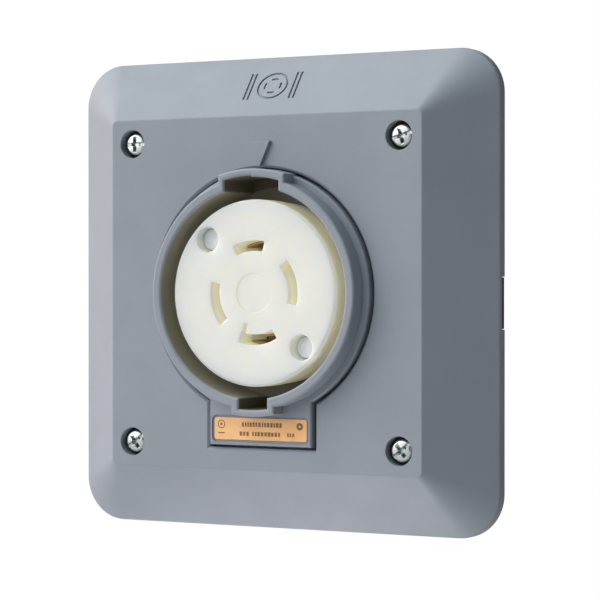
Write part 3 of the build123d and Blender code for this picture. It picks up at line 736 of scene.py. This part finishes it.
def terminal_screws():
    """Terminal screws with wide heads and a cut thread, pointing outwards from the body."""
    radius = TERMINAL_HEAD_RADIUS
    top = SHORT_HEAD_HEIGHT - CROWN * radius
    for line, (material, slot_name) in TERMINAL_METALS.items():
        turn = joints[f"terminal_{line}_turn"]
        place = facing(Vector(turn["pos_m"]), -Vector(turn["axis"]))
        head = driver_head(radius, top, TERMINAL_HEAD_EDGE, TERMINAL_CROSS_REACH, slotted=True)
        rod = solid_of(threaded_rod, TERMINAL_THREAD_RADIUS, THREAD_DEPTH, -TERMINAL_SHANK_LENGTH, OVERLAP)
        mesh = screw_mesh(f"terminal screw {line}", head, (rod,), place)
        piece = new_piece(f"terminal_screw_{line}_detail", mesh, material, f"driver_{line}")
        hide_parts(f"terminal_screw_{line}")


def fixed_screws(node, corners, head_radius, thread_radius, reach):
    """Identical screws whose heads face the back, as one mesh, in the given corners of their box."""
    low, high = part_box(node)
    offset = high.x - head_radius
    seat = high.y - SHORT_HEAD_HEIGHT
    top = SHORT_HEAD_HEIGHT - CROWN * head_radius
    build = bmesh.new()
    for number, (x, z) in enumerate(corners):
        turn = math.radians(REAR_SCREW_TURN * number)
        place = facing((x * offset, seat, z * offset), -FRONT, turn)
        head = driver_head(head_radius, top, REAR_HEAD_EDGE, reach, slotted=False)
        rod = solid_of(threaded_rod, thread_radius, SHALLOW_THREAD_DEPTH, low.y - seat, OVERLAP)
        build.from_mesh(screw_mesh(node, head, (rod,), place))
    mesh = mesh_of(build, node)
    smooth(mesh)
    piece = new_piece(f"{node}_detail", mesh, ZINC, "receptacle")
    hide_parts(node)


def rear_screws():
    """The screws that hold the collar's flange and those that reach the posts."""
    collar_sizes = (COLLAR_HEAD_RADIUS, COLLAR_THREAD_RADIUS, COLLAR_CROSS_REACH)
    fixed_screws("shroud_screws", ((-1, -1), (-1, 1), (1, -1), (1, 1)), *collar_sizes)
    post_sizes = (POST_SCREW_HEAD_RADIUS, POST_SCREW_THREAD_RADIUS, POST_CROSS_REACH)
    fixed_screws("assembly_screws", ((-1, 1), (1, -1)), *post_sizes)


# ---------------------------------------------------------------------------------------------
# Label print and moulding marks
# ---------------------------------------------------------------------------------------------
def flat_bar(build, left, right, low, high, back, front):
    """A thin upright bar that faces the front."""
    corners = ((left, low), (right, low), (right, high), (left, high))
    middle = ((left + right) / 2, (low + high) / 2)
    rings = [[(x, y, z) for x, z in corners] for y in (back, front)]
    stack(build, [[(middle[0], back, middle[1])], *rings, [(middle[0], front, middle[1])]])


def flat_ring(build, centre, inner, outer, back, front, segments=40):
    """A thin ring that faces the front."""
    profile = [(inner, back), (outer, back), (outer, front), (inner, front)]
    rings = []
    for radius, y in profile:
        spots = circle_at(radius, y, segments)
        rings.append([build.verts.new((centre[0] + x, y, centre[1] + z)) for x, z, _ in spots])
    for first, second in zip(rings, rings[1:] + rings[:1]):
        join_rings(build, first, second)


def label_print():
    """Generic print: two rows of plain blocks, a ring with a dot, a stroke and a round mark."""
    low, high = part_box("rating_label")
    faces = (low.y + INK_HALF_DEPTH, low.y - INK_HALF_DEPTH)
    centre_x = (low.x + high.x) / 2
    upper = high.z - UPPER_ROW_DROP
    lower = high.z - LOWER_ROW_DROP
    build = bmesh.new()
    draw = random.Random(7)
    for middle, rows in ((upper, UPPER_ROWS), (lower, LOWER_ROWS)):
        for start, end, half in rows:
            x = start
            while x < end:
                width = draw.uniform(*BLOCK_WIDTHS)
                top = half * draw.uniform(*BLOCK_HEIGHTS)
                ends = (centre_x + x * MM, centre_x + (x + width) * MM)
                flat_bar(build, *ends, middle - half * MM, middle + top * MM, *faces)
                x += width + draw.uniform(*BLOCK_GAPS)
    left, right = centre_x - MARK_OFFSET, centre_x + MARK_OFFSET
    for radii in LEFT_MARK_RADII:
        flat_ring(build, (left, upper - LEFT_MARK_DROP), *radii, *faces)
    ends = (left - STROKE_HALF_LENGTH, left + STROKE_HALF_LENGTH)
    flat_bar(build, *ends, *(lower + height for height in STROKE_HEIGHTS), *faces)
    flat_ring(build, (right, upper - RIGHT_MARK_DROP), *RIGHT_MARK_RADII, *faces)
    mesh = mesh_of(build, "label print")
    new_piece("label_print", mesh, INK, "receptacle")


def moulding_marks():
    """Round ejector marks on the inside of the cover."""
    low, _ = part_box("cover_plate")
    rear_of_face = low.y + POINTER_HEIGHT + FACE_WALL
    faces = [rear_of_face + height for height in MARK_HEIGHTS]
    build = bmesh.new()
    for along in (-MARK_PITCH, 0, MARK_PITCH):
        for away in (-MARK_ROW, MARK_ROW):
            for spot in ((along, away), (away, along)):
                flat_ring(build, spot, *MARK_RADII, *faces)
    mesh = mesh_of(build, "ejector marks")
    new_piece("ejector_marks", mesh, GREY, "receptacle")


cover_screws()
terminal_screws()
rear_screws()
label_print()
moulding_marks()


# ---------------------------------------------------------------------------------------------
# Stage
# ---------------------------------------------------------------------------------------------
def camera():
    """A long lens, level with the middle of the part and to its right."""
    lens = bpy.data.cameras.new("camera")
    lens.lens = LENS_LENGTH
    lens.sensor_width = SENSOR_WIDTH
    lens.clip_start = 0.01
    lens.clip_end = 30
    viewer = bpy.data.objects.new("camera", lens)
    viewer.location = CAMERA_PLACE
    viewer.rotation_euler = (math.radians(CAMERA_TILT), 0, math.radians(CAMERA_HEADING))
    bpy.context.scene.collection.objects.link(viewer)
    bpy.context.scene.camera = viewer


def low_light():
    """A soft light from below, for the lower bevel."""
    lamp = bpy.data.lights.new("low", "AREA")
    lamp.shape = "RECTANGLE"
    lamp.size, lamp.size_y = LOW_LIGHT_SIZE
    lamp.energy = LOW_LIGHT_POWER
    lamp.color = LOW_LIGHT_COLOUR
    holder = bpy.data.objects.new("low", lamp)
    holder.location = LOW_LIGHT_PLACE
    aim = Vector(LOW_LIGHT_TARGET) - Vector(LOW_LIGHT_PLACE)
    holder.rotation_mode = "QUATERNION"
    holder.rotation_quaternion = aim.to_track_quat("-Z", "Y")
    bpy.context.scene.collection.objects.link(holder)


def studio():
    """A room lit from the upper left, with a white surround behind the object."""
    world = bpy.data.worlds.new("studio")
    bpy.context.scene.world = world
    world.use_nodes = True
    tree = world.node_tree
    tree.nodes.clear()
    direction = add_node(tree, "TexCoord").outputs["Generated"]
    total = None
    for heading, focus, colour in ROOM:
        towards = Vector(heading).normalized()
        lean = add_node(tree, "VectorMath", {0: direction, 1: towards}, operation="DOT_PRODUCT")
        near = add_node(tree, "Math", {0: lean.outputs["Value"], 1: 0.0}, operation="MAXIMUM")
        gathered = add_node(tree, "Math", {0: near.outputs[0], 1: focus}, operation="POWER")
        strength = {0: colour, "Scale": gathered.outputs[0]}
        glow = add_node(tree, "VectorMath", strength, operation="SCALE").outputs[0]
        if total is not None:
            glow = add_node(tree, "VectorMath", {0: total, 1: glow}, operation="ADD").outputs[0]
        total = glow
    room = add_node(tree, "Background", {"Color": total})
    white = add_node(tree, "Background", {"Color": (1, 1, 1, 1)})
    seen = add_node(tree, "LightPath").outputs["Is Camera Ray"]
    mix = add_node(tree, "MixShader", {0: seen, 1: room.outputs[0], 2: white.outputs[0]})
    add_node(tree, "OutputWorld", {"Surface": mix.outputs[0]})


def floor():
    """A pale round floor well below the object, fading to white far off for the camera."""
    build = bmesh.new()
    bmesh.ops.create_circle(build, cap_ends=True, radius=FLOOR_RADIUS, segments=96)
    ground = bpy.data.objects.new("floor", mesh_of(build, "floor"))
    ground.location = (0, 0, cad_low.z - FLOOR_DROP)
    bpy.context.scene.collection.objects.link(ground)
    shader = Shader("pale floor", Roughness=0.9, Specular_IOR_Level=0.1)
    away = shader.node("VectorMath", {0: shader.coordinates}, operation="LENGTH").outputs["Value"]
    seen = shader.node("LightPath").outputs["Is Camera Ray"]
    fade = shader.math("MULTIPLY", shader.remap(away, *FLOOR_FADE), seen)
    wash = shader.blend(shader.noise(0.4, 2), (0.80, 0.80, 0.80), (0.86, 0.86, 0.86))
    shader.feed("Base Color", shader.blend(seen, (0.50, 0.50, 0.50), wash))
    glow = shader.node("Emission", {"Color": (1, 1, 1, 1), "Strength": 1.0})
    mixed = shader.node("MixShader", {0: fade, 1: shader.surface.outputs[0], 2: glow.outputs[0]})
    shader.tree.links.new(mixed.outputs[0], shader.tree.nodes["Material Output"].inputs["Surface"])
    ground.data.materials.append(shader.material)


camera()
studio()
floor()
low_light()
bpy.context.scene.view_settings.view_transform = "Standard"
